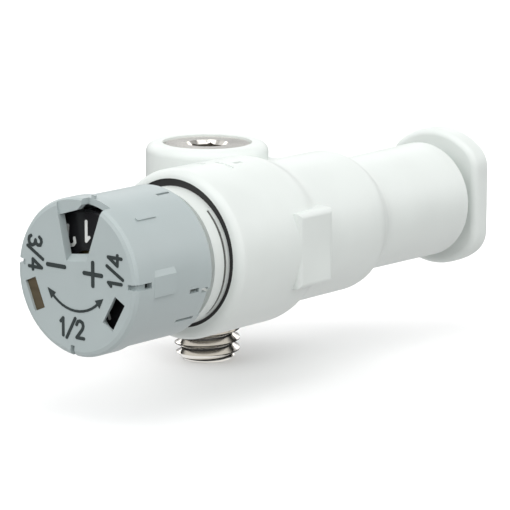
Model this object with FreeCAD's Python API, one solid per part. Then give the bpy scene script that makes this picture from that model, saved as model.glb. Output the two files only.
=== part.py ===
"""Flow control valve with a turn-counting dial, for a 4 mm tube and an M5 port.

Millimetres. Z points up along the stud, and z = 0 is the face that the gasket seals against.
The valve axis runs along X: the knob is at -X and the tube goes in at +X.
"""

import FreeCAD, Part
import math
import os
from FreeCAD import Vector

# ---- stud, on the Z axis
THREAD_R = 2.5
THREAD_PITCH = 0.8
THREAD_LENGTH = 3.3
THREAD_DEPTH = 0.49
THREAD_TURN_OFFSET = 0.27
THREAD_GROOVE_SHARE = 0.86
THREAD_ROOT_SHARE = 0.2
THREAD_SEAMS = 16
THREAD_TIP_CHAMFER = 0.65
THREAD_RUNOUT = 0.32
STUD_NECK_R = 1.95
STUD_NECK_HEIGHT = 0.25
STUD_BORE_R = 1.1
GASKET_HEIGHT = 0.55
GASKET_SEAT_R = 2.7
GASKET_R = 3.75
STUD_FLANGE_R = 3.9
STUD_FLANGE_TOP = 1.2
STUD_R = 3.33
STUD_TOP = 13.35
STUD_CHAMFER = 0.15
HEX_SOCKET_FLATS = 2.5
HEX_SOCKET_DEPTH = 2.2
SOCKET_MOUTH_R = 1.62
SOCKET_MOUTH_DEPTH = 0.3
CROSS_HOLE_R = 0.8
AIR_GROOVE_R = 2.6
AIR_GROOVE_HALF = 1.25
STUD_BLIND_TOP = 9.3
STUD_SEAL_HEIGHTS = (4.8, 10.5)
STUD_SEAL_GROOVE_R = 2.55
STUD_SEAL_GROOVE_HALF = 0.5
STUD_SEAL_SECTION_R = 0.41
CLIP_BOTTOM = 12.0
CLIP_HEIGHT = 0.5
CLIP_INNER_R = 2.9
CLIP_OUTER_R = 3.75
CLIP_GAP_DEG = 50

# ---- white casing
AXIS_Y = -8.6
AXIS_Z = 7.9
BOSS_R = 4.65
BOSS_BOTTOM = 1.3
BOSS_TOP = 13.45
BOSS_ROUND = 0.7
BOSS_BORE_R = 3.4
COLLAR_FRONT = -13.55
COLLAR_R = 6.15
COLLAR_ROUND = 0.6
COLLAR_BACK = -6.0
MIDDLE_FRONT = -2.5
MIDDLE_R = 5.32
MIDDLE_BACK = 3.45
TAIL_FRONT = 6.34
TAIL_R = 4.32
TAIL_END_R = 4.44
TAIL_BACK = 16.06
TAIL_ROUND = 0.3
WEB_HALF = 3.4
WEB_BOTTOM = 3.2
WEB_TOP = 12.2
PAD_FRONT = -7.1
PAD_BACK = -3.2
PAD_HALF = 2.75
PAD_DEPTH = 1.6
PAD_ROUND = 0.4
MARK_DEPTH = 0.09
MARKS = ((-10.52, -10.07, -15, 0), (-9.45, -9.05, 1, 16), (-8.4, -7.5, 8.5, 11.5))
CLIP_CLEARANCE = 0.1

# ---- bores of the casing along the valve axis
COLLAR_BORE_R = 5.36
COLLAR_BORE_UP = 0.15
SLEEVE_SEAT_FRONT = -11.2
SLEEVE_BACK = -9.2
GUIDE_SHOULDER = -8.45
GUIDE_BORE_R = 3.3
GUIDE_BACK = -3.9
CHAMBER_R = 2.6
SEAL_BORE_FRONT = 1.4
SEAL_BORE_R = 3.15
SEAT_BACK = 5.2
TUBE_WAY_R = 1.5
TUBE_STOP = 6.9
TUBE_R = 2.1
TUBE_SEAL_FRONT = 8.0
RETAINER_BORE_FRONT = 10.4
RETAINER_R = 3.45
PASSAGE_R = 1.1

# ---- white lock sleeve
SLEEVE_R = 4.97
SLEEVE_RING_FRONT = -15.05
SLEEVE_NECK_R = 4.6
SLEEVE_NECK_FRONT = -20.0
SLEEVE_FRONT = -21.65
JOURNAL_R = 3.75
SLEEVE_BORE_R = 2.95
SLEEVE_POCKET_FRONT = -17.0
SLEEVE_POCKET_R = 3.7
BAND_FRONT = -14.05
BAND_WIDTH = 0.26
BAND_INNER_R = 4.7
BAND_SINK = 0.06
BAND_ARCS = ((42, 140), (222, 318))
DUST_RING_FRONT = -13.45
LOCK_TEETH = 24
LOCK_TOOTH_DEG = 6.0
SLEEVE_TOOTH_R = 4.86
SLEEVE_TOOTH_FRONT = -17.55
SLEEVE_TOOTH_BACK = -16.85
SNAP_RING_FRONT = -16.05
SNAP_RING_WIDTH = 0.3
SNAP_RING_R = 4.0
SNAP_RING_INNER_R = 2.6
SNAP_RING_GAP_DEG = 40

# ---- dial and its gear: ten pins in the dial, nine lobes on the driver
DIAL_OFFSET = 0.2
DIAL_PINS = 10
PIN_CIRCLE_R = 3.2
PIN_R = 0.35
GEAR_CLEARANCE = 0.05
ROTOR_POINTS_PER_LOBE = 16
DIAL_FRONT = -22.7
DIAL_WEB_BACK = -22.35
DIAL_GEAR_BACK = -21.75
DIAL_BACK = -20.3
DIAL_R = 4.38
DIAL_SKIRT_R = 4.25
DIAL_EYE_R = 1.55
DIAL_EDGE = 0.14
DIAL_RING_R = 3.35
DIAL_JOURNAL_BORE_R = 3.8
DIAL_DIGITS = 10
NUMERAL_HEIGHT = 1.36
NUMERAL_R = 2.88
NUMERAL_WIDTH = 0.24
PRINT_LIFT = 0.03

# ---- driver
DRIVER_R = 2.9
ROTOR_FRONT = -22.25
ROTOR_BACK = -21.7
DRIVER_FLANGE_FRONT = -16.9
DRIVER_FLANGE_BACK = -16.2
DRIVER_FLANGE_R = 3.6
DRIVER_TAIL_R = 2.4
DRIVER_BACK = -13.4
KNOB_POST_FLATS = 2.2
KNOB_SOCKET_FLATS = 2.3
KNOB_SOCKET_BACK = -20.35
DETENT_GROOVE_BACK = -19.9
DETENT_GROOVE_R = 1.7
DETENT_BORE_R = 1.08
DETENT_BORE_BACK = -18.8
DETENT_INNER_R = 1.03
NEEDLE_SOCKET_FRONT = -18.2
NEEDLE_SOCKET_FLATS = 1.98

# ---- grey knob
FACE = -23.9
FACE_FLAT_R = 5.15
BAND_R = 5.55
RIM_DEPTH = 0.35
RIM_CORNER_DEPTH = 0.105
RIM_CORNER_R = 5.4
KNOB_EDGE_BREAK = 0.1
BAND_BACK = -21.95
SKIRT_R = 5.4
SKIRT_BACK = -15.8
KNOB_CAVITY_R = 5.08
KNOB_WALL_BACK = -23.25
KNOB_TOOTH_R = 4.7
KNOB_TOOTH_FRONT = -18.35
KNOB_TOOTH_BACK = -17.75
POST_HEX_BACK = -20.95
POST_BACK = -19.4
POST_R = 1.0
POST_GROOVE_HALF = 0.15
LOCK_TRAVEL = 0.5
DETENT_DEPTH = 0.1
WINDOW_FOOT_UP = 1.15
WINDOW_FOOT_UP_BACK = 1.6
WINDOW_FOOT_SLOPE = 0.13
WINDOW_FOOT_LEFT = -0.87
WINDOW_FOOT_RIGHT = 1.0
WINDOW_LEFT_DEG = -12.4
WINDOW_RIGHT_DEG = 21.4
WINDOW_RIM_FOOT_UP = 4.0
WINDOW_RIM_BACK = -22.95
LEDGE_FRONT = -23.75
LEDGE_BACK = -22.0
LEDGE_CORNERS = ((-2.5, 3.95), (0.05, 4.74), (0.42, 5.12), (0.42, 7), (-2.5, 7))
SLOTS = ((120, 3.52, 4.55), (247, 3.66, 4.7))
SLOT_HALF_LENGTH = 1.12
SLOT_LIP = 0.2
POCKET_INNER_R = 3.3
POCKET_OUTER_R = 4.95
POCKET_HALF_DEG = 21
CLIP_THICKNESS = 0.2
NOTCH_DEG = (90, 184, 276)
NOTCH_HALF_DEG = 2.2
NOTCH_DEPTH = 0.25
NOTCH_WELL_BACK = -23.55
NOTCH_WELL_R = 4.78
NOTCH_BACK = -22.3
NOTCH_HOLE_FRONT = -22.75
RIB = (-21.6, -19.7, 39, 41.3)
RIB_LIFT = 0.12
NUB_LIFT = 0.25
RAMP = (-22.0, -19.75, 80.5, 85)
PAD_LIFT = 0.16
PAD_END_DEG = 100
NUB = (-23.05, -22.75, 6.5, 9.5)
SKIRT_SLOTS = (
    (-17.5, -16.2, 17.5, 20),
    (-18.05, -17.1, 101, 104.6),
    (-16.8, -16.15, 102.2, 106.2),
    (-16.2, -15.3, 104, 127.5),
    (-18.4, -16.6, 127, 130),
)
PRINT_WIDTH = 0.3
PRINT_HEIGHT = 1.5
MINUS_AT = (-1.82, 0.64)
PLUS_AT = (1.6, 0.48)
SIGN_LENGTH = 1.6
ARROW_CENTRE_UP = 0.8
ARROW_R = 3.1
ARROW_FROM_DEG = 136.5
ARROW_TO_DEG = 226
ARROW_STEPS = 12
ARROW_WIDTH = 0.18
ARROW_HEAD_LENGTH = 0.55
ARROW_HEAD_SETBACK = 0.2
ARROW_HEAD_HALF = 0.33
FRACTION_WIDTH = 0.24
FRACTION_SPACING = 0.82
FRACTIONS = (
    ("1/4", 3.62, 0.87, 270),
    ("1/2", -0.45, -3.55, 0),
    ("3/4", -3.78, 1.3, 90),
)

# ---- needle and throttle
NEEDLE_FLATS = 1.9
NEEDLE_FRONT = -15.6
NEEDLE_THREAD_FRONT = -10.8
NEEDLE_THREAD_R = 1.44
NEEDLE_THREAD_CHAMFER = 0.15
NEEDLE_TAIL_BACK = -10.3
NEEDLE_SHANK_FRONT = -6.0
NEEDLE_SHANK_R = 1.56
NEEDLE_SHANK_BACK = -3.4
NEEDLE_NOSE_R = 1.3
NEEDLE_CONE_FRONT = -0.2
NEEDLE_SEAT_X = 1.25
NEEDLE_SEAT_R = 0.97
NEEDLE_TIP = 3.1
NEEDLE_TIP_R = 0.3
NEEDLE_SEAL_X = -5.12
NEEDLE_SEAL_GROOVE_R = 1.0
NEEDLE_SEAL_GROOVE_HALF = 0.33
NEEDLE_SEAL_SECTION_R = 0.29
GUIDE_FRONT = -11.5
GUIDE_FRONT_R = 2.45
GUIDE_FLANGE_FRONT = -9.2
GUIDE_FLANGE_R = 4.25
GUIDE_THREAD_R = 1.5
GUIDE_THREAD_BACK = -8.5
GUIDE_SMOOTH_R = 1.62
GUIDE_SEAL_X = -6.9
GUIDE_SEAL_GROOVE_R = 2.6
GUIDE_SEAL_GROOVE_HALF = 0.45
GUIDE_SEAL_SECTION_R = 0.35
ORIFICE_R = 1.0
SEAT_FRONT = 1.6
SEAT_HUB_R = 1.6
SEAT_FLANGE_FRONT = 4.1
SEAT_HOLE_COUNT = 6
SEAT_HOLE_R = 0.35
SEAT_HOLE_CIRCLE_R = 2.4
CHECK_FRONT = 2.1
CHECK_FRONT_R = 2.35
CHECK_CREASE = 2.9
CHECK_CREASE_R = 2.1
CHECK_LIP_FRONT = 3.7
CHECK_LIP_BACK = 4.0
CHECK_LIP_INNER_R = 2.95
CHECK_HEEL_R = 2.0

# ---- push-in fitting
TUBE_SEAL_BACK = 9.6
TUBE_SEAL_END_R = 2.35
TUBE_SEAL_LIP_R = 2.12
CHUCK_GUIDE_BACK = 10.4
CHUCK_FRONT = 10.4
CHUCK_RING_BACK = 11.2
CHUCK_BACK = 12.95
CHUCK_R = 3.0
CHUCK_WALL = 0.35
CHUCK_TOOTH_R = 2.12
CHUCK_TOOTH_WALL = 0.3
CHUCK_FINGERS = 8
CHUCK_SLIT = 0.28
RETAINER_BACK = 16.0
RETAINER_BORE_R = 3.05
RETAINER_LIP_FRONT = 15.4
RETAINER_LIP_R = 2.7
BUTTON_BORE_R = 2.1
BUTTON_R = 2.6
BUTTON_FRONT = 13.95
BUTTON_BEAD_FRONT = 14.6
BUTTON_BEAD_BACK = 15.2
BUTTON_BEAD_R = 2.95
BUTTON_BEAD_LAND = 0.1
BUTTON_FLANGE_FRONT = 17.1
BUTTON_BACK = 19.0
BUTTON_HALF_WIDTH = 4.15
BUTTON_HALF_HEIGHT = 5.35
BUTTON_CORNER_R = 2.2
BUTTON_ROUND = 0.5
BUTTON_MOUTH = 0.5

# ---- how far cutters run past a surface, and how deep joined shapes reach into each other
CUT_PAST = 1.0
BITE = 0.1
FAR = 40.0
X_AXIS = Vector(1, 0, 0)
Z_AXIS = Vector(0, 0, 1)
CENTRE = Vector(0, AXIS_Y, AXIS_Z)


# ---- helpers
def rod_x(x0, x1, r, dy=0.0, dz=0.0):
    """Solid round bar along the valve axis."""
    return Part.makeCylinder(r, x1 - x0, Vector(x0, AXIS_Y + dy, AXIS_Z + dz), X_AXIS)


def tube_x(x0, x1, r_out, r_in, dz=0.0):
    """Round tube along the valve axis."""
    return rod_x(x0, x1, r_out, 0, dz).cut(rod_x(x0 - CUT_PAST, x1 + CUT_PAST, r_in, 0, dz))


def rod_z(z0, z1, r):
    """Solid round bar on the stud axis."""
    return Part.makeCylinder(r, z1 - z0, Vector(0, 0, z0), Z_AXIS)


def seamed_rod_z(z0, z1, r, seams):
    """Round bar on the stud axis with seams along its side, so a thread's crest becomes short patches."""
    reach = r * 2
    slices = []
    for k in range(seams):
        start = 2 * math.pi * k / seams
        end = 2 * math.pi * (k + 1) / seams
        corners = [
            Vector(0, 0, z0),
            Vector(reach * math.cos(start), reach * math.sin(start), z0),
            Vector(reach * math.cos(end), reach * math.sin(end), z0),
        ]
        wedge = Part.Face(Part.makePolygon(corners + corners[:1])).extrude(Vector(0, 0, z1 - z0))
        slices.append(wedge.common(rod_z(z0, z1, r)))
    return slices[0].fuse(slices[1:])


def tube_z(z0, z1, r_out, r_in):
    """Round tube on the stud axis."""
    return rod_z(z0, z1, r_out).cut(rod_z(z0 - CUT_PAST, z1 + CUT_PAST, r_in))


def revolve_x(profile):
    """Turn a closed outline of (x, radius) corners about the valve axis."""
    points = [Vector(x, AXIS_Y, AXIS_Z + r) for x, r in profile]
    face = Part.Face(Part.makePolygon(points + points[:1]))
    return face.revolve(CENTRE, X_AXIS, 360)


def bezier_x(x0, r0, x1, r1):
    """S-shaped edge between two radii, level at both ends."""
    middle = (x0 + x1) / 2
    poles = ((x0, r0), (middle, r0), (middle, r1), (x1, r1))
    curve = Part.BezierCurve()
    curve.setPoles([Vector(x, AXIS_Y, AXIS_Z + r) for x, r in poles])
    return curve.toShape()


def line_x(x0, r0, x1, r1):
    """Straight edge of an outline in the plane above the valve axis."""
    return Part.makeLine(Vector(x0, AXIS_Y, AXIS_Z + r0), Vector(x1, AXIS_Y, AXIS_Z + r1))


def hexagon_x(x0, x1, flats):
    """Hexagonal bar along the valve axis, with two corners up and down."""
    r = flats / math.sqrt(3)
    points = []
    for k in range(7):
        angle = math.radians(60 * k)
        points.append(Vector(x0, AXIS_Y + r * math.sin(angle), AXIS_Z + r * math.cos(angle)))
    return Part.Face(Part.makePolygon(points)).extrude(Vector(x1 - x0, 0, 0))


def on_face(x, right, up):
    """A point on a plane across the valve axis, as seen from the knob's front."""
    return Vector(x, AXIS_Y - right, AXIS_Z + up)


def polar(x, r, degrees):
    """A point at an angle from the top, clockwise as seen from the knob's front."""
    angle = math.radians(degrees)
    return on_face(x, r * math.sin(angle), r * math.cos(angle))


def prism(points, depth):
    """Extrude a flat outline along the valve axis."""
    return Part.Face(Part.makePolygon(points + points[:1])).extrude(Vector(depth, 0, 0))


def sector(x0, x1, r_in, r_out, start_deg, end_deg, dz=0.0):
    """Part of a tube between two angles from the top, clockwise from the front."""
    ring = tube_x(x0, x1, r_out, r_in, dz)
    span = end_deg - start_deg
    reach = r_out * 2 / math.cos(math.radians(span / 2))
    front = x0 - CUT_PAST
    offset = Vector(0, 0, dz)
    corners = [
        on_face(front, 0, dz),
        polar(front, reach, start_deg) + offset,
        polar(front, reach, end_deg) + offset,
    ]
    return ring.common(prism(corners, x1 + CUT_PAST - front))


def turned(shape, degrees):
    """A copy turned about the valve axis, clockwise from the front for positive angles."""
    copy = shape.copy()
    copy.rotate(CENTRE, X_AXIS, degrees)
    return copy


def hexagon_z(z0, z1, flats):
    """Hexagonal bar on the stud axis."""
    r = flats / math.sqrt(3)
    points = []
    for k in range(7):
        angle = math.radians(60 * k + 30)
        points.append(Vector(r * math.cos(angle), r * math.sin(angle), z0))
    return Part.Face(Part.makePolygon(points)).extrude(Vector(0, 0, z1 - z0))


def split_ring_z(z0, z1, r_out, r_in, gap_deg):
    """Snap ring on the stud axis, open towards the knob."""
    half = math.radians(gap_deg / 2)
    reach = r_out * 2
    low = z0 - CUT_PAST
    corners = [
        Vector(0, 0, low),
        Vector(-reach * math.cos(half), reach * math.sin(half), low),
        Vector(-reach * math.cos(half), -reach * math.sin(half), low),
    ]
    gap = Part.Face(Part.makePolygon(corners + corners[:1])).extrude(Vector(0, 0, z1 + CUT_PAST - low))
    return tube_z(z0, z1, r_out, r_in).cut(gap)


def split_ring_x(x0, x1, r_out, r_in, gap_deg):
    """Snap ring on the valve axis, open at the bottom."""
    ring = tube_x(x0, x1, r_out, r_in)
    half = gap_deg / 2
    gap = sector(x0 - CUT_PAST, x1 + CUT_PAST, r_in / 2, r_out + CUT_PAST, 180 - half, 180 + half)
    return ring.cut(gap)


def torus_x(x, section_r, centre_r):
    """O-ring on the valve axis."""
    return Part.makeTorus(centre_r, section_r, Vector(x, AXIS_Y, AXIS_Z), X_AXIS)


def fused(shapes):
    """One clean solid from shapes that overlap."""
    first = shapes[0]
    rest = list(shapes[1:])
    return (first.fuse(rest) if rest else first).removeSplitter()


def cut_all(shape, tools):
    """Take every tool away from a shape."""
    return shape.cut(list(tools)).removeSplitter()


# ---- printed characters: strokes on a cell 0.6 wide and 1 high
GLYPHS = {
    "1": [[(0.17, 0.8), (0.36, 1.0), (0.36, 0.0)]],
    "2": [[(0.04, 0.76), (0.14, 0.95), (0.31, 1.0), (0.5, 0.92), (0.56, 0.72), (0.48, 0.52),
           (0.04, 0.0), (0.6, 0.0)]],
    "3": [[(0.04, 0.84), (0.16, 0.97), (0.32, 1.0), (0.5, 0.9), (0.52, 0.7), (0.42, 0.56),
           (0.24, 0.53)],
          [(0.24, 0.53), (0.48, 0.46), (0.57, 0.27), (0.5, 0.07), (0.3, 0.0), (0.12, 0.04),
           (0.02, 0.18)]],
    "4": [[(0.46, 0.0), (0.46, 1.0)], [(0.46, 1.0), (0.02, 0.3), (0.62, 0.3)]],
    "5": [[(0.54, 1.0), (0.12, 1.0), (0.08, 0.56), (0.3, 0.62), (0.5, 0.54), (0.57, 0.31),
           (0.48, 0.07), (0.28, 0.0), (0.04, 0.1)]],
    "7": [[(0.03, 1.0), (0.57, 1.0), (0.24, 0.0)]],
    "0": [[(0.3, 1.0), (0.1, 0.88), (0.03, 0.5), (0.1, 0.12), (0.3, 0.0)],
          [(0.3, 1.0), (0.5, 0.88), (0.57, 0.5), (0.5, 0.12), (0.3, 0.0)]],
    "6": [[(0.52, 0.9), (0.36, 1.0), (0.16, 0.88), (0.04, 0.56), (0.04, 0.28), (0.3, 0.0)],
          [(0.04, 0.28), (0.16, 0.5), (0.38, 0.55), (0.56, 0.4), (0.56, 0.18), (0.3, 0.0)]],
    "8": [[(0.3, 0.54), (0.1, 0.64), (0.07, 0.86), (0.3, 1.0), (0.53, 0.86), (0.5, 0.64)],
          [(0.5, 0.64), (0.3, 0.54), (0.06, 0.4), (0.04, 0.14), (0.3, 0.0)],
          [(0.3, 0.54), (0.54, 0.4), (0.56, 0.14), (0.3, 0.0)]],
    "/": [[(-0.05, -0.1), (0.62, 1.1)]],
}
GLYPH_MIDDLE_U = 0.3
GLYPH_MIDDLE_V = 0.5
GLYPHS["9"] = []
for stroke in GLYPHS["6"]:
    GLYPHS["9"].append([(GLYPH_MIDDLE_U * 2 - u, GLYPH_MIDDLE_V * 2 - v) for u, v in stroke])


def stroke_solids(points, width):
    """A line of even width with round ends and corners, raised a little towards the knob's front."""
    solids = []
    for a, b in zip(points, points[1:]):
        along = b - a
        side = X_AXIS.cross(along)
        side.normalize()
        side.multiply(width / 2)
        solids.append(prism([a + side, b + side, b - side, a - side], -PRINT_LIFT))
    for p in points:
        solids.append(Part.makeCylinder(width / 2, PRINT_LIFT, p, Vector(-1, 0, 0)))
    return solids


def character(name, place, reading_deg, height, width):
    """One character centred at a point; reading_deg turns its baseline clockwise from level."""
    angle = math.radians(reading_deg)
    reading = Vector(0, -math.cos(angle), -math.sin(angle))
    upward = Vector(0, -math.sin(angle), math.cos(angle))
    solids = []
    for stroke in GLYPHS[name]:
        points = []
        for u, v in stroke:
            across = (u - GLYPH_MIDDLE_U) * height
            above = (v - GLYPH_MIDDLE_V) * height
            points.append(place + reading * across + upward * above)
        solids += stroke_solids(points, width)
    return fused(solids)


# ---- stud group
def make_banjo_stud():
    """Hollow screw with an M5 thread, a flange, two seal grooves and a socket head."""
    body = seamed_rod_z(-THREAD_LENGTH, -STUD_NECK_HEIGHT, THREAD_R, THREAD_SEAMS)
    tip_top = -THREAD_LENGTH + THREAD_TIP_CHAMFER
    tip = Part.makeCone(
        THREAD_R - THREAD_TIP_CHAMFER, THREAD_R + BITE, THREAD_TIP_CHAMFER + BITE,
        Vector(0, 0, -THREAD_LENGTH), Z_AXIS
    )
    body = body.common(tip.fuse(rod_z(tip_top + BITE, 0, THREAD_R + BITE)))
    mouth_half = (THREAD_PITCH * THREAD_GROOVE_SHARE + BITE) / 2
    root_half = THREAD_PITCH * THREAD_ROOT_SHARE / 2
    inner = THREAD_R - THREAD_DEPTH
    start = -THREAD_LENGTH - THREAD_PITCH - THREAD_TURN_OFFSET
    helix = Part.makeLongHelix(THREAD_PITCH, THREAD_LENGTH + THREAD_PITCH * 2, THREAD_R)
    helix.translate(Vector(0, 0, start))
    section = Part.makePolygon([
        Vector(THREAD_R + BITE, 0, start - mouth_half),
        Vector(inner, 0, start - root_half),
        Vector(inner, 0, start + root_half),
        Vector(THREAD_R + BITE, 0, start + mouth_half),
        Vector(THREAD_R + BITE, 0, start - mouth_half),
    ])
    groove = Part.Wire(helix).makePipeShell([section], True, True)
    thread = body.cut(groove)
    neck = rod_z(-STUD_NECK_HEIGHT - THREAD_RUNOUT, GASKET_HEIGHT, STUD_NECK_R)
    collar = rod_z(0, GASKET_HEIGHT, GASKET_SEAT_R)
    flange = rod_z(GASKET_HEIGHT, STUD_FLANGE_TOP, STUD_FLANGE_R)
    shank = rod_z(STUD_FLANGE_TOP, STUD_TOP - STUD_CHAMFER, STUD_R)
    edge = Part.makeCone(
        STUD_R, STUD_R - STUD_CHAMFER, STUD_CHAMFER, Vector(0, 0, STUD_TOP - STUD_CHAMFER), Z_AXIS
    )
    body = thread.fuse([fused([neck, collar, flange, shank, edge])])
    mouth = Part.makeCone(
        SOCKET_MOUTH_R - SOCKET_MOUTH_DEPTH, SOCKET_MOUTH_R, SOCKET_MOUTH_DEPTH,
        Vector(0, 0, STUD_TOP - SOCKET_MOUTH_DEPTH), Z_AXIS
    )
    tools = [
        mouth,
        rod_z(-THREAD_LENGTH - CUT_PAST, STUD_BLIND_TOP, STUD_BORE_R),
        hexagon_z(STUD_TOP - HEX_SOCKET_DEPTH, STUD_TOP + CUT_PAST, HEX_SOCKET_FLATS),
        tube_z(AXIS_Z - AIR_GROOVE_HALF, AXIS_Z + AIR_GROOVE_HALF, STUD_R + CUT_PAST, AIR_GROOVE_R),
        tube_z(CLIP_BOTTOM, CLIP_BOTTOM + CLIP_HEIGHT, STUD_R + CUT_PAST, CLIP_INNER_R),
    ]
    for direction in (X_AXIS, Vector(0, 1, 0)):
        start_point = Vector(0, 0, AXIS_Z) - direction * STUD_R
        tools.append(Part.makeCylinder(CROSS_HOLE_R, STUD_R * 2, start_point, direction))
    for z in STUD_SEAL_HEIGHTS:
        low = z - STUD_SEAL_GROOVE_HALF
        high = z + STUD_SEAL_GROOVE_HALF
        tools.append(tube_z(low, high, STUD_R + CUT_PAST, STUD_SEAL_GROOVE_R))
    return body.cut(tools)


def make_port_gasket():
    """Flat sealing washer under the stud's flange."""
    return tube_z(0, GASKET_HEIGHT, GASKET_R, GASKET_SEAT_R)


def make_stud_clip():
    """Snap ring that keeps the casing on the stud."""
    return split_ring_z(CLIP_BOTTOM, CLIP_BOTTOM + CLIP_HEIGHT, CLIP_OUTER_R, CLIP_INNER_R, CLIP_GAP_DEG)


def make_stud_orings():
    """Two rings that seal the casing on the stud, above and below its air groove."""
    centre_r = STUD_SEAL_GROOVE_R + STUD_SEAL_SECTION_R
    rings = []
    for z in STUD_SEAL_HEIGHTS:
        rings.append(Part.makeTorus(centre_r, STUD_SEAL_SECTION_R, Vector(0, 0, z), Z_AXIS))
    return Part.makeCompound(rings)


# ---- casing
def casing_outside():
    """Boss, collar, middle and tail, joined by a web, with a flat pad on the collar's end."""
    corner = math.sqrt(0.5)
    inset = COLLAR_ROUND * (1 - corner)
    collar_edge = Part.Arc(
        Vector(COLLAR_FRONT, AXIS_Y, AXIS_Z + COLLAR_R - COLLAR_ROUND),
        Vector(COLLAR_FRONT + inset, AXIS_Y, AXIS_Z + COLLAR_R - inset),
        Vector(COLLAR_FRONT + COLLAR_ROUND, AXIS_Y, AXIS_Z + COLLAR_R),
    ).toShape()
    edges = [
        line_x(COLLAR_FRONT, 0, COLLAR_FRONT, COLLAR_R - COLLAR_ROUND),
        collar_edge,
        line_x(COLLAR_FRONT + COLLAR_ROUND, COLLAR_R, COLLAR_BACK, COLLAR_R),
        bezier_x(COLLAR_BACK, COLLAR_R, MIDDLE_FRONT, MIDDLE_R),
        line_x(MIDDLE_FRONT, MIDDLE_R, MIDDLE_BACK, MIDDLE_R),
        bezier_x(MIDDLE_BACK, MIDDLE_R, TAIL_FRONT, TAIL_R),
        line_x(TAIL_FRONT, TAIL_R, TAIL_BACK - TAIL_ROUND, TAIL_END_R),
        line_x(TAIL_BACK - TAIL_ROUND, TAIL_END_R, TAIL_BACK, TAIL_END_R - TAIL_ROUND),
        line_x(TAIL_BACK, TAIL_END_R - TAIL_ROUND, TAIL_BACK, 0),
        line_x(TAIL_BACK, 0, COLLAR_FRONT, 0),
    ]
    barrel = Part.Face(Part.Wire(edges)).revolve(CENTRE, X_AXIS, 360)
    arc = Part.Arc(
        Vector(BOSS_R, 0, BOSS_TOP - BOSS_ROUND),
        Vector(BOSS_R - BOSS_ROUND * (1 - corner), 0, BOSS_TOP - BOSS_ROUND * (1 - corner)),
        Vector(BOSS_R - BOSS_ROUND, 0, BOSS_TOP),
    ).toShape()
    boss_edges = [
        Part.makeLine(Vector(0, 0, BOSS_BOTTOM), Vector(BOSS_R, 0, BOSS_BOTTOM)),
        Part.makeLine(Vector(BOSS_R, 0, BOSS_BOTTOM), Vector(BOSS_R, 0, BOSS_TOP - BOSS_ROUND)),
        arc,
        Part.makeLine(Vector(BOSS_R - BOSS_ROUND, 0, BOSS_TOP), Vector(0, 0, BOSS_TOP)),
        Part.makeLine(Vector(0, 0, BOSS_TOP), Vector(0, 0, BOSS_BOTTOM)),
    ]
    boss = Part.Face(Part.Wire(boss_edges)).revolve(Vector(0, 0, 0), Z_AXIS, 360)
    web = Part.makeBox(
        WEB_HALF * 2, -AXIS_Y, WEB_TOP - WEB_BOTTOM, Vector(-WEB_HALF, AXIS_Y, WEB_BOTTOM)
    )
    pad = Part.makeBox(
        PAD_BACK - PAD_FRONT, PAD_DEPTH, PAD_HALF * 2,
        Vector(PAD_FRONT, AXIS_Y - COLLAR_R, AXIS_Z - PAD_HALF),
    )
    pad_edges = [edge for edge in pad.Edges if edge.BoundBox.YMax < AXIS_Y - COLLAR_R + BITE]
    pad = pad.makeFillet(PAD_ROUND, pad_edges)
    return fused([barrel, boss, web, pad])


def make_valve_body():
    """White casing: boss on the stud, collar for the knob, tail for the tube."""
    tools = [
        rod_z(BOSS_BOTTOM - CUT_PAST, BOSS_TOP + CUT_PAST, BOSS_BORE_R),
        rod_z(CLIP_BOTTOM - CLIP_CLEARANCE, CLIP_BOTTOM + CLIP_HEIGHT + CLIP_CLEARANCE,
              CLIP_OUTER_R + CLIP_CLEARANCE),
        rod_x(COLLAR_FRONT - CUT_PAST, SLEEVE_SEAT_FRONT, COLLAR_BORE_R, 0, COLLAR_BORE_UP),
        rod_x(SLEEVE_SEAT_FRONT, SLEEVE_BACK, SLEEVE_R),
        rod_x(SLEEVE_BACK, GUIDE_SHOULDER, GUIDE_FLANGE_R),
        rod_x(GUIDE_SHOULDER, GUIDE_BACK, GUIDE_BORE_R),
        rod_x(GUIDE_BACK, SEAL_BORE_FRONT, CHAMBER_R),
        rod_x(SEAL_BORE_FRONT, SEAT_BACK, SEAL_BORE_R),
        rod_x(SEAT_BACK, TUBE_STOP, TUBE_WAY_R),
        rod_x(TUBE_STOP, TUBE_SEAL_FRONT, TUBE_R),
        rod_x(TUBE_SEAL_FRONT, RETAINER_BORE_FRONT, SEAL_BORE_R),
        rod_x(RETAINER_BORE_FRONT, TAIL_BACK + CUT_PAST, RETAINER_R),
        Part.makeCylinder(PASSAGE_R, -AXIS_Y, Vector(0, AXIS_Y, AXIS_Z), Vector(0, 1, 0)),
    ]
    for x0, x1, start_deg, end_deg in MARKS:
        tools.append(sector(x0, x1, COLLAR_R - MARK_DEPTH, COLLAR_R + CUT_PAST, start_deg, end_deg))
    return cut_all(casing_outside(), tools)


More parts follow.
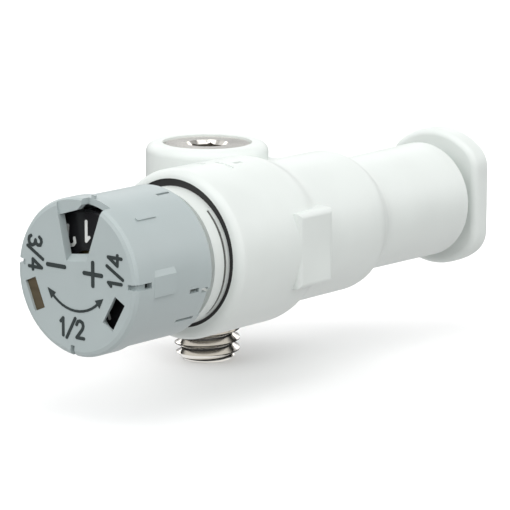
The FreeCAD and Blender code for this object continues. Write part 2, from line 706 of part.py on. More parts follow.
# ---- lock sleeve, band and snap ring
def make_lock_sleeve():
    """White ring pressed into the collar: dial journal, lock teeth and the driver's bearing."""
    journal = rod_x(SLEEVE_FRONT, SLEEVE_NECK_FRONT, JOURNAL_R, 0, DIAL_OFFSET)
    neck = rod_x(SLEEVE_NECK_FRONT, SLEEVE_RING_FRONT, SLEEVE_NECK_R)
    ring = rod_x(SLEEVE_RING_FRONT, SLEEVE_BACK, SLEEVE_R)
    teeth = []
    half = LOCK_TOOTH_DEG / 2
    for k in range(LOCK_TEETH):
        middle = 360 / LOCK_TEETH * k
        teeth.append(sector(SLEEVE_TOOTH_FRONT, SLEEVE_TOOTH_BACK, SLEEVE_NECK_R - BITE,
                            SLEEVE_TOOTH_R, middle - half, middle + half))
    tools = [
        rod_x(SLEEVE_FRONT - CUT_PAST, SLEEVE_POCKET_FRONT, SLEEVE_BORE_R),
        rod_x(SLEEVE_POCKET_FRONT, SLEEVE_BACK + CUT_PAST, SLEEVE_POCKET_R),
        rod_x(SNAP_RING_FRONT, SNAP_RING_FRONT + SNAP_RING_WIDTH, SNAP_RING_R),
    ]
    back = BAND_FRONT + BAND_WIDTH
    for start_deg, end_deg in BAND_ARCS:
        tools.append(sector(BAND_FRONT, back, BAND_INNER_R, SLEEVE_R + CUT_PAST, start_deg, end_deg))
    return cut_all(fused([journal, neck, ring] + teeth), tools)


def make_lock_bands():
    """Two dark arcs in the sleeve's grooves, one on each side."""
    back = BAND_FRONT + BAND_WIDTH
    bands = []
    for start_deg, end_deg in BAND_ARCS:
        bands.append(sector(BAND_FRONT, back, BAND_INNER_R, SLEEVE_R - BAND_SINK, start_deg, end_deg))
    return Part.makeCompound(bands)


def make_dust_ring():
    """Black ring that fills the gap between the sleeve and the collar's mouth, thicker at the top."""
    outside = rod_x(DUST_RING_FRONT, SLEEVE_SEAT_FRONT, COLLAR_BORE_R, 0, COLLAR_BORE_UP)
    return outside.cut(rod_x(DUST_RING_FRONT - CUT_PAST, SLEEVE_SEAT_FRONT + CUT_PAST, SLEEVE_R))


def make_driver_snap_ring():
    """Snap ring inside the sleeve that keeps the driver's flange in place."""
    back = SNAP_RING_FRONT + SNAP_RING_WIDTH
    return split_ring_x(SNAP_RING_FRONT, back, SNAP_RING_R, SNAP_RING_INNER_R, SNAP_RING_GAP_DEG)


# ---- dial gear
def rotor_wire():
    """Nine-lobed outline that stays one clearance inside the dial's ten pins as both turn.

    A pin's centre, seen from the rotor, follows a circle with a small ten-fold ripple.
    The rotor's outline is that path moved inwards by the pin's radius.
    """
    count = (DIAL_PINS - 1) * ROTOR_POINTS_PER_LOBE
    inset = PIN_R + GEAR_CLEARANCE
    points = []
    for k in range(count):
        t = 2 * math.pi * k / count
        ripple = DIAL_PINS * t + math.pi / 2
        y = PIN_CIRCLE_R * math.cos(t) + DIAL_OFFSET * math.cos(ripple)
        z = PIN_CIRCLE_R * math.sin(t) + DIAL_OFFSET * math.sin(ripple)
        dy = -PIN_CIRCLE_R * math.sin(t) - DIAL_PINS * DIAL_OFFSET * math.sin(ripple)
        dz = PIN_CIRCLE_R * math.cos(t) + DIAL_PINS * DIAL_OFFSET * math.cos(ripple)
        speed = math.hypot(dy, dz)
        y -= inset * dz / speed
        z += inset * dy / speed
        points.append(Vector(ROTOR_FRONT, AXIS_Y + y, AXIS_Z + z))
    curve = Part.BSplineCurve()
    curve.interpolate(points, PeriodicFlag=True)
    return Part.Wire(curve.toShape())


def make_needle_driver():
    """Hub that the knob turns: rotor for the dial in front, hexagon drive for the needle behind."""
    rotor = Part.Face(rotor_wire()).extrude(Vector(ROTOR_BACK - ROTOR_FRONT, 0, 0))
    shaft = rod_x(ROTOR_BACK, DRIVER_FLANGE_FRONT, DRIVER_R)
    flange = rod_x(DRIVER_FLANGE_FRONT, DRIVER_FLANGE_BACK, DRIVER_FLANGE_R)
    tail = rod_x(DRIVER_FLANGE_BACK, DRIVER_BACK, DRIVER_TAIL_R)
    core = rod_x(ROTOR_FRONT, DRIVER_FLANGE_BACK, DRIVER_TAIL_R)
    tools = [
        hexagon_x(ROTOR_FRONT - CUT_PAST, KNOB_SOCKET_BACK, KNOB_SOCKET_FLATS),
        rod_x(KNOB_SOCKET_BACK, DETENT_GROOVE_BACK, DETENT_GROOVE_R),
        rod_x(DETENT_GROOVE_BACK, DETENT_BORE_BACK, DETENT_BORE_R),
        hexagon_x(NEEDLE_SOCKET_FRONT, DRIVER_BACK + CUT_PAST, NEEDLE_SOCKET_FLATS),
    ]
    return cut_all(fused([rotor, shaft, flange, tail, core]), tools)


def make_knob_detent_ring():
    """Springy ring in the driver that grips the knob's post in its two grooves."""
    return tube_x(KNOB_SOCKET_BACK, DETENT_GROOVE_BACK, DETENT_GROOVE_R, DETENT_INNER_R)


def make_indicator_dial():
    """Black wheel: numbered disc with a bevelled edge, ring of ten pins, skirt that turns on the journal."""
    edge = Part.makeCone(
        DIAL_R - DIAL_EDGE, DIAL_R, DIAL_EDGE,
        Vector(DIAL_FRONT, AXIS_Y, AXIS_Z + DIAL_OFFSET), X_AXIS
    )
    plate = edge.fuse(rod_x(DIAL_FRONT + DIAL_EDGE, DIAL_WEB_BACK, DIAL_R, 0, DIAL_OFFSET))
    disc = plate.cut(rod_x(DIAL_FRONT - CUT_PAST, DIAL_WEB_BACK + CUT_PAST, DIAL_EYE_R, 0, DIAL_OFFSET))
    gear = tube_x(DIAL_WEB_BACK, DIAL_GEAR_BACK, DIAL_R, DIAL_RING_R, DIAL_OFFSET)
    skirt = tube_x(DIAL_GEAR_BACK, DIAL_BACK, DIAL_SKIRT_R, DIAL_JOURNAL_BORE_R, DIAL_OFFSET)
    pins = []
    for k in range(DIAL_PINS):
        angle = 2 * math.pi * k / DIAL_PINS
        dy = PIN_CIRCLE_R * math.cos(angle)
        dz = PIN_CIRCLE_R * math.sin(angle) + DIAL_OFFSET
        pins.append(rod_x(DIAL_WEB_BACK, DIAL_GEAR_BACK, PIN_R, dy, dz))
    return fused([disc, gear, skirt] + pins)


def make_dial_numerals():
    """Digits 0 to 9 around the dial, feet outwards, with 1 at the top."""
    numerals = []
    for digit in range(DIAL_DIGITS):
        turn = 360 / DIAL_DIGITS * (1 - digit)
        place = polar(DIAL_FRONT, NUMERAL_R, turn) + Vector(0, 0, DIAL_OFFSET)
        reading_deg = turn + 180
        numerals.append(character(str(digit), place, reading_deg, NUMERAL_HEIGHT, NUMERAL_WIDTH))
    return Part.makeCompound(numerals)


# ---- knob
def window_outline(x, foot_up):
    """Outline of the window: a slightly sloping foot and two straight sides that spread out past the rim."""
    reach = BAND_R + CUT_PAST
    points = []
    for up in (foot_up, reach):
        rise = up - WINDOW_FOOT_UP
        left = WINDOW_FOOT_LEFT + rise * math.tan(math.radians(WINDOW_LEFT_DEG))
        right = WINDOW_FOOT_RIGHT + rise * math.tan(math.radians(WINDOW_RIGHT_DEG))
        tilt = WINDOW_FOOT_SLOPE
        pair = [on_face(x, left, up + tilt * left), on_face(x, right, up + tilt * right)]
        points += pair if up == foot_up else pair[::-1]
    return Part.makePolygon(points + points[:1])


def window_tools():
    """The window's hole and the cut that lowers the rim above it, less the ledge left in one corner."""
    hole = Part.makeLoft(
        [window_outline(FACE, WINDOW_FOOT_UP), window_outline(KNOB_WALL_BACK, WINDOW_FOOT_UP_BACK)], True
    )
    front = Part.Face(window_outline(FACE - CUT_PAST, WINDOW_FOOT_UP)).extrude(Vector(CUT_PAST, 0, 0))
    rim_face = Part.Face(window_outline(KNOB_WALL_BACK, WINDOW_RIM_FOOT_UP))
    rim = rim_face.extrude(Vector(WINDOW_RIM_BACK - KNOB_WALL_BACK, 0, 0))
    ledge = prism([on_face(LEDGE_FRONT, right, up) for right, up in LEDGE_CORNERS], LEDGE_BACK - LEDGE_FRONT)
    return [hole.cut(ledge), front, rim.cut(ledge)]


def slot_tool(middle_deg, inner, outer):
    """Straight slot through the face, square to the radius at its middle."""
    angle = math.radians(middle_deg)
    corners = []
    for out, side in ((inner, -1), (inner, 1), (outer, 1), (outer, -1)):
        along = side * SLOT_HALF_LENGTH
        right = out * math.sin(angle) + along * math.cos(angle)
        up = out * math.cos(angle) - along * math.sin(angle)
        corners.append(on_face(FACE - CUT_PAST, right, up))
    return prism(corners, KNOB_WALL_BACK + BITE - FACE + CUT_PAST)


def notch_tools(middle):
    """A notch across the band, with a well at its front end and a hole at its back end."""
    front = FACE - CUT_PAST
    outer = BAND_R + CUT_PAST
    start_deg = middle - NOTCH_HALF_DEG
    end_deg = middle + NOTCH_HALF_DEG
    return [
        sector(front, NOTCH_BACK, BAND_R - NOTCH_DEPTH, outer, start_deg, end_deg),
        sector(front, NOTCH_WELL_BACK, NOTCH_WELL_R, outer, start_deg, end_deg),
        sector(NOTCH_HOLE_FRONT, NOTCH_BACK, KNOB_CAVITY_R - BITE, outer, start_deg, end_deg),
    ]


def side_ribs():
    """Small rib, ramped pad and nub on the knob's side."""
    x0, x1, start_deg, end_deg = RIB
    shapes = [sector(x0, x1, SKIRT_R - BITE, SKIRT_R + RIB_LIFT, start_deg, end_deg)]
    x0, x1, start_deg, end_deg = RAMP
    slope = [
        polar(x0, SKIRT_R - BITE, start_deg),
        polar(x0, SKIRT_R, start_deg),
        polar(x0, SKIRT_R + PAD_LIFT, end_deg),
        polar(x0, SKIRT_R - BITE, end_deg),
    ]
    shapes.append(prism(slope, x1 - x0))
    shapes.append(sector(x0, x1, SKIRT_R - BITE, SKIRT_R + PAD_LIFT, end_deg, PAD_END_DEG))
    x0, x1, start_deg, end_deg = NUB
    shapes.append(sector(x0, x1, BAND_R - BITE, BAND_R + NUB_LIFT, start_deg, end_deg))
    return shapes


def make_knob():
    """Grey cap: face with window and slots, notched band, slotted skirt, lock teeth and post."""
    shell = revolve_x([
        (FACE, 0),
        (FACE, FACE_FLAT_R),
        (FACE + RIM_CORNER_DEPTH, RIM_CORNER_R),
        (FACE + RIM_DEPTH, BAND_R),
        (BAND_BACK, BAND_R),
        (BAND_BACK + KNOB_EDGE_BREAK, SKIRT_R),
        (SKIRT_BACK - KNOB_EDGE_BREAK, SKIRT_R),
        (SKIRT_BACK, SKIRT_R - KNOB_EDGE_BREAK),
        (SKIRT_BACK, KNOB_CAVITY_R),
        (KNOB_WALL_BACK, KNOB_CAVITY_R),
        (KNOB_WALL_BACK, 0),
    ])
    half = LOCK_TOOTH_DEG / 2
    pitch = 360 / LOCK_TEETH
    teeth = []
    for k in range(LOCK_TEETH):
        middle = pitch * (k + 0.5)
        teeth.append(sector(KNOB_TOOTH_FRONT, KNOB_TOOTH_BACK, KNOB_TOOTH_R, KNOB_CAVITY_R + BITE,
                            middle - half, middle + half))
    post_hex = hexagon_x(KNOB_WALL_BACK - BITE, POST_HEX_BACK, KNOB_POST_FLATS)
    ring_x = (KNOB_SOCKET_BACK + DETENT_GROOVE_BACK) / 2
    outline = [(POST_HEX_BACK - BITE, 0), (POST_HEX_BACK - BITE, POST_R)]
    for x in (ring_x - LOCK_TRAVEL, ring_x):
        outline += [
            (x - POST_GROOVE_HALF, POST_R),
            (x, POST_R - DETENT_DEPTH),
            (x + POST_GROOVE_HALF, POST_R),
        ]
    outline += [(POST_BACK, POST_R), (POST_BACK, 0)]
    post = revolve_x(outline)
    tools = window_tools()
    for middle, inner, outer in SLOTS:
        tools.append(slot_tool(middle, inner, outer))
        tools.append(sector(FACE + SLOT_LIP, KNOB_WALL_BACK + BITE, POCKET_INNER_R, POCKET_OUTER_R,
                            middle - POCKET_HALF_DEG, middle + POCKET_HALF_DEG))
    for middle in NOTCH_DEG:
        tools += notch_tools(middle)
    for x0, x1, start_deg, end_deg in SKIRT_SLOTS:
        for turn in (0, 180):
            tools.append(sector(x0, x1, KNOB_CAVITY_R - BITE, BAND_R, start_deg + turn, end_deg + turn))
    return cut_all(fused([shell, post_hex, post] + side_ribs() + teeth), tools)


def make_knob_clip():
    """Brass leaf set in the pocket behind the left slot."""
    middle = SLOTS[1][0]
    front = FACE + SLOT_LIP
    return sector(front, front + CLIP_THICKNESS, POCKET_INNER_R, POCKET_OUTER_R,
                  middle - POCKET_HALF_DEG, middle + POCKET_HALF_DEG)


def arrow_arc():
    """Arc with a head at each end, under the plus and minus signs."""
    points = []
    for k in range(ARROW_STEPS + 1):
        angle = ARROW_FROM_DEG + (ARROW_TO_DEG - ARROW_FROM_DEG) * k / ARROW_STEPS
        points.append(polar(FACE, ARROW_R, angle) + Vector(0, 0, ARROW_CENTRE_UP))
    solids = stroke_solids(points, ARROW_WIDTH)
    for end, previous in ((points[0], points[1]), (points[-1], points[-2])):
        along = end - previous
        along.normalize()
        side = X_AXIS.cross(along) * ARROW_HEAD_HALF
        tip = end + along * ARROW_HEAD_LENGTH
        base = end - along * ARROW_HEAD_SETBACK
        solids.append(prism([tip, base + side, base - side], -PRINT_LIFT))
    return fused(solids)


def sign_bar(at, d_right, d_up):
    """One straight bar of a printed sign, centred at a place on the face."""
    right, up = at
    start = on_face(FACE, right - d_right / 2, up - d_up / 2)
    end = on_face(FACE, right + d_right / 2, up + d_up / 2)
    return stroke_solids([start, end], PRINT_WIDTH)


def make_knob_marks():
    """Printed marks on the knob's face: signs, arrow, and fractions of a turn."""
    minus = fused(sign_bar(MINUS_AT, SIGN_LENGTH, 0))
    plus = fused(sign_bar(PLUS_AT, SIGN_LENGTH, 0) + sign_bar(PLUS_AT, 0, SIGN_LENGTH))
    solids = [minus, plus, arrow_arc()]
    height = PRINT_HEIGHT - PRINT_WIDTH
    for text, right, up, reading_deg in FRACTIONS:
        angle = math.radians(reading_deg)
        reading = Vector(0, -math.cos(angle), -math.sin(angle))
        middle = on_face(FACE, right, up)
        for place, name in enumerate(text):
            at = middle + reading * (FRACTION_SPACING * (place - 1))
            solids.append(character(name, at, reading_deg, height, FRACTION_WIDTH))
    return Part.makeCompound(solids)


# ---- needle and throttle
def make_needle():
    """Needle: hexagon tail, threaded part, sealed shank and tapered nose."""
    tail = hexagon_x(NEEDLE_FRONT, NEEDLE_TAIL_BACK, NEEDLE_FLATS)
    groove_front = NEEDLE_SEAL_X - NEEDLE_SEAL_GROOVE_HALF
    groove_back = NEEDLE_SEAL_X + NEEDLE_SEAL_GROOVE_HALF
    stem = revolve_x([
        (NEEDLE_THREAD_FRONT, 0),
        (NEEDLE_THREAD_FRONT, NEEDLE_THREAD_R - NEEDLE_THREAD_CHAMFER),
        (NEEDLE_THREAD_FRONT + NEEDLE_THREAD_CHAMFER, NEEDLE_THREAD_R),
        (NEEDLE_SHANK_FRONT, NEEDLE_THREAD_R),
        (NEEDLE_SHANK_FRONT, NEEDLE_SHANK_R),
        (groove_front, NEEDLE_SHANK_R),
        (groove_front, NEEDLE_SEAL_GROOVE_R),
        (groove_back, NEEDLE_SEAL_GROOVE_R),
        (groove_back, NEEDLE_SHANK_R),
        (NEEDLE_SHANK_BACK, NEEDLE_SHANK_R),
        (NEEDLE_SHANK_BACK, NEEDLE_NOSE_R),
        (NEEDLE_CONE_FRONT, NEEDLE_NOSE_R),
        (NEEDLE_SEAT_X, NEEDLE_SEAT_R),
        (NEEDLE_TIP, NEEDLE_TIP_R),
        (NEEDLE_TIP, 0),
    ])
    return fused([tail, stem])


def make_needle_oring():
    """Ring that seals the needle in its guide."""
    return torus_x(NEEDLE_SEAL_X, NEEDLE_SEAL_SECTION_R, NEEDLE_SEAL_GROOVE_R + NEEDLE_SEAL_SECTION_R)


def make_needle_guide():
    """Brass bush that holds the needle: flange against the sleeve, ring groove on its tail."""
    body = revolve_x([
        (GUIDE_FRONT, 0),
        (GUIDE_FRONT, GUIDE_FRONT_R),
        (GUIDE_FLANGE_FRONT, GUIDE_FRONT_R),
        (GUIDE_FLANGE_FRONT, GUIDE_FLANGE_R),
        (GUIDE_SHOULDER, GUIDE_FLANGE_R),
        (GUIDE_SHOULDER, GUIDE_BORE_R),
        (GUIDE_SEAL_X - GUIDE_SEAL_GROOVE_HALF, GUIDE_BORE_R),
        (GUIDE_SEAL_X - GUIDE_SEAL_GROOVE_HALF, GUIDE_SEAL_GROOVE_R),
        (GUIDE_SEAL_X + GUIDE_SEAL_GROOVE_HALF, GUIDE_SEAL_GROOVE_R),
        (GUIDE_SEAL_X + GUIDE_SEAL_GROOVE_HALF, GUIDE_BORE_R),
        (GUIDE_BACK, GUIDE_BORE_R),
        (GUIDE_BACK, 0),
    ])
    tools = [
        rod_x(GUIDE_FRONT - CUT_PAST, GUIDE_THREAD_BACK, GUIDE_THREAD_R),
        rod_x(GUIDE_THREAD_BACK, GUIDE_BACK + CUT_PAST, GUIDE_SMOOTH_R),
    ]
    return cut_all(body, tools)


def make_guide_oring():
    """Ring that seals the needle guide in the casing."""
    return torus_x(GUIDE_SEAL_X, GUIDE_SEAL_SECTION_R, GUIDE_SEAL_GROOVE_R + GUIDE_SEAL_SECTION_R)


def make_throttle_seat():
    """Brass orifice with a flange of free-flow holes behind the check seal."""
    hub = rod_x(SEAT_FRONT, SEAT_BACK, SEAT_HUB_R)
    flange = rod_x(SEAT_FLANGE_FRONT, SEAT_BACK, SEAL_BORE_R)
    tools = [rod_x(SEAT_FRONT - CUT_PAST, SEAT_BACK + CUT_PAST, ORIFICE_R)]
    for k in range(SEAT_HOLE_COUNT):
        angle = 2 * math.pi * k / SEAT_HOLE_COUNT
        dy = SEAT_HOLE_CIRCLE_R * math.cos(angle)
        dz = SEAT_HOLE_CIRCLE_R * math.sin(angle)
        tools.append(rod_x(SEAT_FLANGE_FRONT - CUT_PAST, SEAT_BACK + CUT_PAST, SEAT_HOLE_R, dy, dz))
    return cut_all(fused([hub, flange]), tools)


def make_check_seal():
    """Lip seal around the seat: its lip lets air past in one direction only."""
    return revolve_x([
        (CHECK_FRONT, SEAT_HUB_R),
        (CHECK_FRONT, CHECK_FRONT_R),
        (CHECK_LIP_FRONT, SEAL_BORE_R),
        (CHECK_LIP_BACK, SEAL_BORE_R),
        (CHECK_LIP_BACK, CHECK_LIP_INNER_R),
        (CHECK_CREASE, CHECK_CREASE_R),
        (SEAT_FLANGE_FRONT, CHECK_HEEL_R),
        (SEAT_FLANGE_FRONT, SEAT_HUB_R),
    ])


# ---- push-in fitting
def make_tube_seal():
    """Rubber ring that seals on the tube."""
    middle = (TUBE_SEAL_FRONT + TUBE_SEAL_BACK) / 2
    return revolve_x([
        (TUBE_SEAL_FRONT, TUBE_SEAL_END_R),
        (TUBE_SEAL_FRONT, SEAL_BORE_R),
        (TUBE_SEAL_BACK, SEAL_BORE_R),
        (TUBE_SEAL_BACK, TUBE_SEAL_END_R),
        (middle, TUBE_SEAL_LIP_R),
    ])


def make_chuck_guide():
    """Plastic ring between the seal and the chuck."""
    return tube_x(TUBE_SEAL_BACK, CHUCK_GUIDE_BACK, SEAL_BORE_R, TUBE_R)


def make_tube_chuck():
    """Steel ring with fingers whose tips bite the tube."""
    ring = revolve_x([
        (CHUCK_FRONT, CHUCK_R - CHUCK_WALL),
        (CHUCK_FRONT, CHUCK_R),
        (CHUCK_RING_BACK, CHUCK_R),
        (CHUCK_BACK, CHUCK_TOOTH_R + CHUCK_TOOTH_WALL),
        (CHUCK_BACK, CHUCK_TOOTH_R),
        (CHUCK_RING_BACK, CHUCK_R - CHUCK_WALL),
    ])
    slits = []
    for k in range(CHUCK_FINGERS):
        slit = Part.makeBox(
            CHUCK_BACK + CUT_PAST - CHUCK_RING_BACK, CHUCK_SLIT, CHUCK_R,
            Vector(CHUCK_RING_BACK, AXIS_Y - CHUCK_SLIT / 2, AXIS_Z + CHUCK_TOOTH_R / 2),
        )
        slits.append(turned(slit, 360 / CHUCK_FINGERS * k))
    return cut_all(ring, slits)


def make_fitting_collar():
    """Sleeve pressed into the tail: holds the chuck, and its lip keeps the button in."""
    return revolve_x([
        (RETAINER_BORE_FRONT, CHUCK_R),
        (RETAINER_BORE_FRONT, RETAINER_R),
        (RETAINER_BACK, RETAINER_R),
        (RETAINER_BACK, RETAINER_LIP_R),
        (RETAINER_LIP_FRONT, RETAINER_LIP_R),
        (RETAINER_LIP_FRONT, RETAINER_BORE_R),
        (CHUCK_RING_BACK, RETAINER_BORE_R),
        (CHUCK_RING_BACK, CHUCK_R),
    ])


def make_release_button():
    """White push button: tube-guiding stem, retaining bead and a rounded oval flange."""
    stem = rod_x(BUTTON_FRONT, BUTTON_FLANGE_FRONT + BITE, BUTTON_R)
    bead = revolve_x([
        (BUTTON_BEAD_FRONT, 0),
        (BUTTON_BEAD_FRONT, BUTTON_R),
        (BUTTON_BEAD_BACK - BUTTON_BEAD_LAND, BUTTON_BEAD_R),
        (BUTTON_BEAD_BACK, BUTTON_BEAD_R),
        (BUTTON_BEAD_BACK, 0),
    ])
    flange = rod_x(BUTTON_FLANGE_FRONT, BUTTON_BACK, BUTTON_HALF_HEIGHT).common(
        Part.makeBox(
            FAR, BUTTON_HALF_WIDTH * 2, FAR,
            Vector(0, AXIS_Y - BUTTON_HALF_WIDTH, AXIS_Z - FAR / 2),
        )
    )
    thickness = BUTTON_BACK - BUTTON_FLANGE_FRONT
    corners = [edge for edge in flange.Edges if edge.BoundBox.XLength > thickness / 2]
    corners = [edge for edge in corners if abs(edge.BoundBox.YMax - edge.BoundBox.YMin) < BITE]
    flange = flange.makeFillet(BUTTON_CORNER_R, corners)
    rims = [edge for edge in flange.Edges if edge.BoundBox.XLength < BITE]
    flange = flange.makeFillet(BUTTON_ROUND, rims)
    mouth = Part.makeCone(
        BUTTON_BORE_R, BUTTON_BORE_R + BUTTON_MOUTH, BUTTON_MOUTH,
        Vector(BUTTON_BACK - BUTTON_MOUTH, AXIS_Y, AXIS_Z), X_AXIS
    )
    bore = rod_x(BUTTON_FRONT - CUT_PAST, BUTTON_BACK + CUT_PAST, BUTTON_BORE_R)
    return cut_all(fused([flange, stem, bead]), [bore, mouth])


PARTS = {
    "banjo_stud": make_banjo_stud,
    "port_gasket": make_port_gasket,
    "stud_clip": make_stud_clip,
    "stud_orings": make_stud_orings,
    "valve_body": make_valve_body,
    "lock_sleeve": make_lock_sleeve,
    "lock_bands": make_lock_bands,
    "dust_ring": make_dust_ring,
    "driver_snap_ring": make_driver_snap_ring,
    "needle_driver": make_needle_driver,
    "knob_detent_ring": make_knob_detent_ring,
    "indicator_dial": make_indicator_dial,
    "dial_numerals": make_dial_numerals,
    "knob": make_knob,
    "knob_clip": make_knob_clip,
    "knob_marks": make_knob_marks,
    "needle": make_needle,
    "needle_oring": make_needle_oring,
    "needle_guide": make_needle_guide,
    "guide_oring": make_guide_oring,
    "throttle_seat": make_throttle_seat,
    "check_seal": make_check_seal,
    "tube_seal": make_tube_seal,
    "chuck_guide": make_chuck_guide,
    "tube_chuck": make_tube_chuck,
    "fitting_collar": make_fitting_collar,
    "release_button": make_release_button,
}

os.makedirs("parts", exist_ok=True)
for node, make in PARTS.items():
    shape = make()
    shape.exportStep("parts/" + node + ".step")
    box = shape.BoundBox
    print(node, "solids", len(shape.Solids), "valid", shape.isValid(), "volume", round(shape.Volume, 2),
          "x", round(box.XMin, 2), round(box.XMax, 2))
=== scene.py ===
"""Flow control valve on a white studio table.

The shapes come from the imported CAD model. This script gives them their materials and sets the
floor, the lights and the camera. Metres throughout.
"""

import math

import bpy
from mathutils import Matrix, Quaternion, Vector


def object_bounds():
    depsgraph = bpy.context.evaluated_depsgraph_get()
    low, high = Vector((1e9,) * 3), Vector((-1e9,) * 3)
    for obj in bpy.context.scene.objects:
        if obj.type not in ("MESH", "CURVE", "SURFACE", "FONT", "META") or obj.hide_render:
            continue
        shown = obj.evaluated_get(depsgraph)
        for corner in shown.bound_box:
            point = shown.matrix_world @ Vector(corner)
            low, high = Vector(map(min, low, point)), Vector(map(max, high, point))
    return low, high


MM = 0.001

# ---- camera: what it looks at, its direction from there, distance and framing
CAMERA_TARGET = (0, -4 * MM, 5.7 * MM)
CAMERA_AZIMUTH = -50.25
CAMERA_ELEVATION = 11.36
CAMERA_DISTANCE = 230 * MM
CAMERA_ROLL = -0.16
CAMERA_LENS = 215.4
CAMERA_SHIFT_X = 0.0146
CAMERA_SHIFT_Y = -0.0122
CAMERA_CLIP_START = 10 * MM
SENSOR = 36

# ---- materials: slow drift and fine grain, the span of the drift that is used, depth of the relief
DRIFT_SCALE = 260
DRIFT_DETAIL = 2
GRAIN_DETAIL = 3
TONE_SPAN = (0.35, 0.65)
GLOSS_SPAN = (0.3, 0.7)
RELIEF_DEPTH = 0.02 * MM

# ---- studio
FLOOR_SIZE = 20.0
FLOOR_COLOUR = (0.98, 0.98, 0.98)
FLOOR_ROUGHNESS = 0.7
FLOOR_DROP = 0.05 * MM
SOFT_ANGLE = 60
SOFT_LIGHTS = (
    ("front", (-0.6, 0, 0.8), 1.5),
    ("side", (0, -0.6, 0.8), 1.12),
    ("back", (0.2, 0.6, 0.75), 0.35),
)
# brightness of the surroundings by height: -1 is straight down, 0 the horizon, 1 overhead
SKY_BRIGHTEST = 2.0
SKY_LEVELS = (
    (-0.45, 0.95), (-0.25, 0.0), (-0.03, 0.0), (0.02, 0.48), (0.2, 0.48),
    (0.27, 1.84), (0.47, 1.84), (0.54, 0.42), (0.78, 0.42), (0.85, 0.05),
)


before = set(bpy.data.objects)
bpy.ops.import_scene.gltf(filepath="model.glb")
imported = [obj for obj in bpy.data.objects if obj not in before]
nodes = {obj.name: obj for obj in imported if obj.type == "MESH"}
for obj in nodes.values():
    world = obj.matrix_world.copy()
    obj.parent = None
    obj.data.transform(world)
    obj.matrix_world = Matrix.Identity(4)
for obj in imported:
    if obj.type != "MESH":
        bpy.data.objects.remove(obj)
cad_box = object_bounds()


# ---- materials
def noise(tree, vector, scale, detail):
    """A noise texture on the given coordinates, in cells per metre."""
    node = tree.nodes.new("ShaderNodeTexNoise")
    node.inputs["Scale"].default_value = scale
    node.inputs["Detail"].default_value = detail
    tree.links.new(vector, node.inputs["Vector"])
    return node.outputs["Fac"]


def surface(name, colour, roughness, metallic=0.0, grain=9000, relief=0.05, tone=0.015, gloss=0.04,
            stretch=(1, 1, 1)):
    """A material whose tone and gloss drift slowly over the part, with a fine grain in its relief.

    grain is in cells per metre. tone is the share by which the colour lightens and darkens, and gloss the
    amount by which the roughness rises and falls. stretch packs the texture closer along an axis, for marks
    left by turning or brushing.
    """
    material = bpy.data.materials.new(name)
    material.use_nodes = True
    tree = material.node_tree
    shader = tree.nodes["Principled BSDF"]
    shader.inputs["Metallic"].default_value = metallic
    place = tree.nodes.new("ShaderNodeTexCoord")
    mapping = tree.nodes.new("ShaderNodeMapping")
    mapping.inputs["Scale"].default_value = stretch
    tree.links.new(place.outputs["Object"], mapping.inputs["Vector"])
    vector = mapping.outputs["Vector"]
    drift = noise(tree, vector, DRIFT_SCALE, DRIFT_DETAIL)
    fine = noise(tree, vector, grain, GRAIN_DETAIL)

    tones = tree.nodes.new("ShaderNodeValToRGB")
    for stop, position, share in zip(tones.color_ramp.elements, TONE_SPAN, (1 - tone, 1 + tone)):
        stop.position = position
        stop.color = (*[min(1, channel * share) for channel in colour], 1)
    tree.links.new(drift, tones.inputs["Fac"])
    tree.links.new(tones.outputs["Color"], shader.inputs["Base Color"])

    rough = tree.nodes.new("ShaderNodeMapRange")
    rough.inputs["From Min"].default_value = GLOSS_SPAN[0]
    rough.inputs["From Max"].default_value = GLOSS_SPAN[1]
    rough.inputs["To Min"].default_value = roughness - gloss
    rough.inputs["To Max"].default_value = roughness + gloss
    tree.links.new(drift, rough.inputs["Value"])
    tree.links.new(rough.outputs["Result"], shader.inputs["Roughness"])

    bump = tree.nodes.new("ShaderNodeBump")
    bump.inputs["Strength"].default_value = relief
    bump.inputs["Distance"].default_value = RELIEF_DEPTH
    tree.links.new(fine, bump.inputs["Height"])
    tree.links.new(bump.outputs["Normal"], shader.inputs["Normal"])
    return material


MATERIALS = {
    "white": surface("moulded_white", (0.70, 0.737, 0.714), 0.42),
    "grey": surface("knob_grey", (0.405, 0.46, 0.462), 0.45, relief=0.08),
    "print_dark": surface("print_dark", (0.02, 0.03, 0.03), 0.6, grain=20000, tone=0.1),
    "print_white": surface("print_white", (0.8, 0.82, 0.8), 0.6, grain=20000),
    "black_plastic": surface("black_plastic", (0.012, 0.012, 0.014), 0.3, tone=0.05),
    "band_grey": surface("band_grey", (0.10, 0.10, 0.095), 0.5, tone=0.05),
    # black rubber for the real seals, and also painted shade where it fills the gap at dust_ring
    "rubber_and_gap_shade": surface("rubber_and_gap_shade", (0.012, 0.012, 0.012), 0.6, relief=0.2, tone=0.1),
    "nickel": surface("nickel", (0.79, 0.765, 0.715), 0.16, 1.0, grain=3000, gloss=0.03, tone=0.03,
                      stretch=(1, 1, 8)),
    "steel": surface("steel", (0.6, 0.6, 0.6), 0.3, 1.0, grain=3000, stretch=(8, 1, 1)),
    "brass": surface("brass", (0.72, 0.55, 0.26), 0.3, 1.0, grain=3000, tone=0.03, stretch=(8, 1, 1)),
    # painted shade: brass darkened to about a third of the plain brass, for the shade inside the knob's
    # left slot
    "brass_with_painted_shade": surface("brass_with_painted_shade", (0.22, 0.18, 0.12), 0.5, 1.0, grain=3000, tone=0.1,
                          stretch=(1, 1, 6)),
}

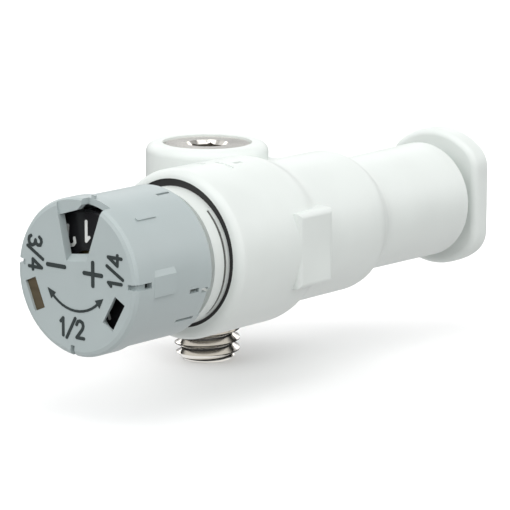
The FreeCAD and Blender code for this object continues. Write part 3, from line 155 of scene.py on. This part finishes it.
FINISHES = {
    "white": ("valve_body", "lock_sleeve", "release_button", "chuck_guide", "fitting_collar"),
    "grey": ("knob",),
    "print_dark": ("knob_marks",),
    "print_white": ("dial_numerals",),
    "black_plastic": ("indicator_dial",),
    "band_grey": ("lock_bands",),
    # dust_ring is a black ring set flush in the gap between the lock sleeve and the collar: painted shade
    # standing in for the dark of that deep gap. The other parts listed here are real rubber seals.
    "rubber_and_gap_shade": ("port_gasket", "stud_orings", "dust_ring", "knob_detent_ring", "needle_oring",
               "guide_oring", "check_seal", "tube_seal"),
    "nickel": ("banjo_stud",),
    "steel": ("stud_clip", "driver_snap_ring", "tube_chuck"),
    "brass": ("needle_driver", "needle", "needle_guide", "throttle_seat"),
    # knob_clip sits behind the knob's left slot; its darkened brass is painted shade for that slot
    "brass_with_painted_shade": ("knob_clip",),
}
for finish, names in FINISHES.items():
    for name in names:
        for slot in nodes[name].material_slots:
            slot.material = MATERIALS[finish]


# ---- studio
def make_floor():
    """White table that runs far behind the object.

    It takes the object's shadow but neither lights the object nor shows in its reflections: the part of
    the surroundings below the horizon does that instead, so that its brightness can be set.
    """
    lowest = cad_box[0][2]
    bpy.ops.mesh.primitive_plane_add(size=FLOOR_SIZE, location=(0, 0, lowest - FLOOR_DROP))
    floor = bpy.context.object
    floor.name = "floor"
    white = surface("floor_white", FLOOR_COLOUR, FLOOR_ROUGHNESS, relief=0, tone=0, gloss=0)
    floor.data.materials.append(white)
    floor.visible_diffuse = False
    floor.visible_glossy = False


def make_soft_lights():
    """Broad, even lights from above: in front of the knob, at the side and a weak one behind."""
    for name, direction, strength in SOFT_LIGHTS:
        light = bpy.data.lights.new(name, "SUN")
        light.energy = strength
        light.angle = math.radians(SOFT_ANGLE)
        lamp = bpy.data.objects.new(name, light)
        bpy.context.scene.collection.objects.link(lamp)
        lamp.rotation_euler = (-Vector(direction)).to_track_quat("-Z", "Y").to_euler()


def make_sky():
    """Plain colourless surroundings: pale far below the horizon, dark just under it, a bright band well
    above it, and dim overhead."""
    world = bpy.data.worlds.new("studio")
    world.use_nodes = True
    tree = world.node_tree
    background = tree.nodes["Background"]
    place = tree.nodes.new("ShaderNodeTexCoord")
    split = tree.nodes.new("ShaderNodeSeparateXYZ")
    height = tree.nodes.new("ShaderNodeMapRange")
    height.inputs["From Min"].default_value = -1
    levels = tree.nodes.new("ShaderNodeValToRGB")
    ramp = levels.color_ramp
    for z, level in SKY_LEVELS:
        grey = level / SKY_BRIGHTEST
        ramp.elements.new((z + 1) / 2).color = (grey, grey, grey, 1)
    ramp.elements[0].color = ramp.elements[1].color
    ramp.elements[-1].color = ramp.elements[-2].color
    tree.links.new(place.outputs["Generated"], split.inputs["Vector"])
    tree.links.new(split.outputs["Z"], height.inputs["Value"])
    tree.links.new(height.outputs["Result"], levels.inputs["Fac"])
    tree.links.new(levels.outputs["Color"], background.inputs["Color"])
    background.inputs["Strength"].default_value = SKY_BRIGHTEST
    bpy.context.scene.world = world


def make_camera():
    """The camera, set by its direction, distance and roll about the line of sight."""
    azimuth = math.radians(CAMERA_AZIMUTH)
    elevation = math.radians(CAMERA_ELEVATION)
    away = Vector((
        math.sin(azimuth) * math.cos(elevation),
        -math.cos(azimuth) * math.cos(elevation),
        math.sin(elevation),
    ))
    data = bpy.data.cameras.new("camera")
    data.sensor_width = SENSOR
    data.lens = CAMERA_LENS
    data.shift_x = CAMERA_SHIFT_X
    data.shift_y = CAMERA_SHIFT_Y
    data.clip_start = CAMERA_CLIP_START
    camera = bpy.data.objects.new("camera", data)
    bpy.context.scene.collection.objects.link(camera)
    camera.location = Vector(CAMERA_TARGET) + away * CAMERA_DISTANCE
    look = (-away).to_track_quat("-Z", "Y")
    camera.rotation_mode = "QUATERNION"
    camera.rotation_quaternion = look @ Quaternion((0, 0, -1), math.radians(CAMERA_ROLL))
    bpy.context.scene.camera = camera


make_floor()
make_soft_lights()
make_sky()
make_camera()
bpy.context.scene.view_settings.view_transform = "Standard"
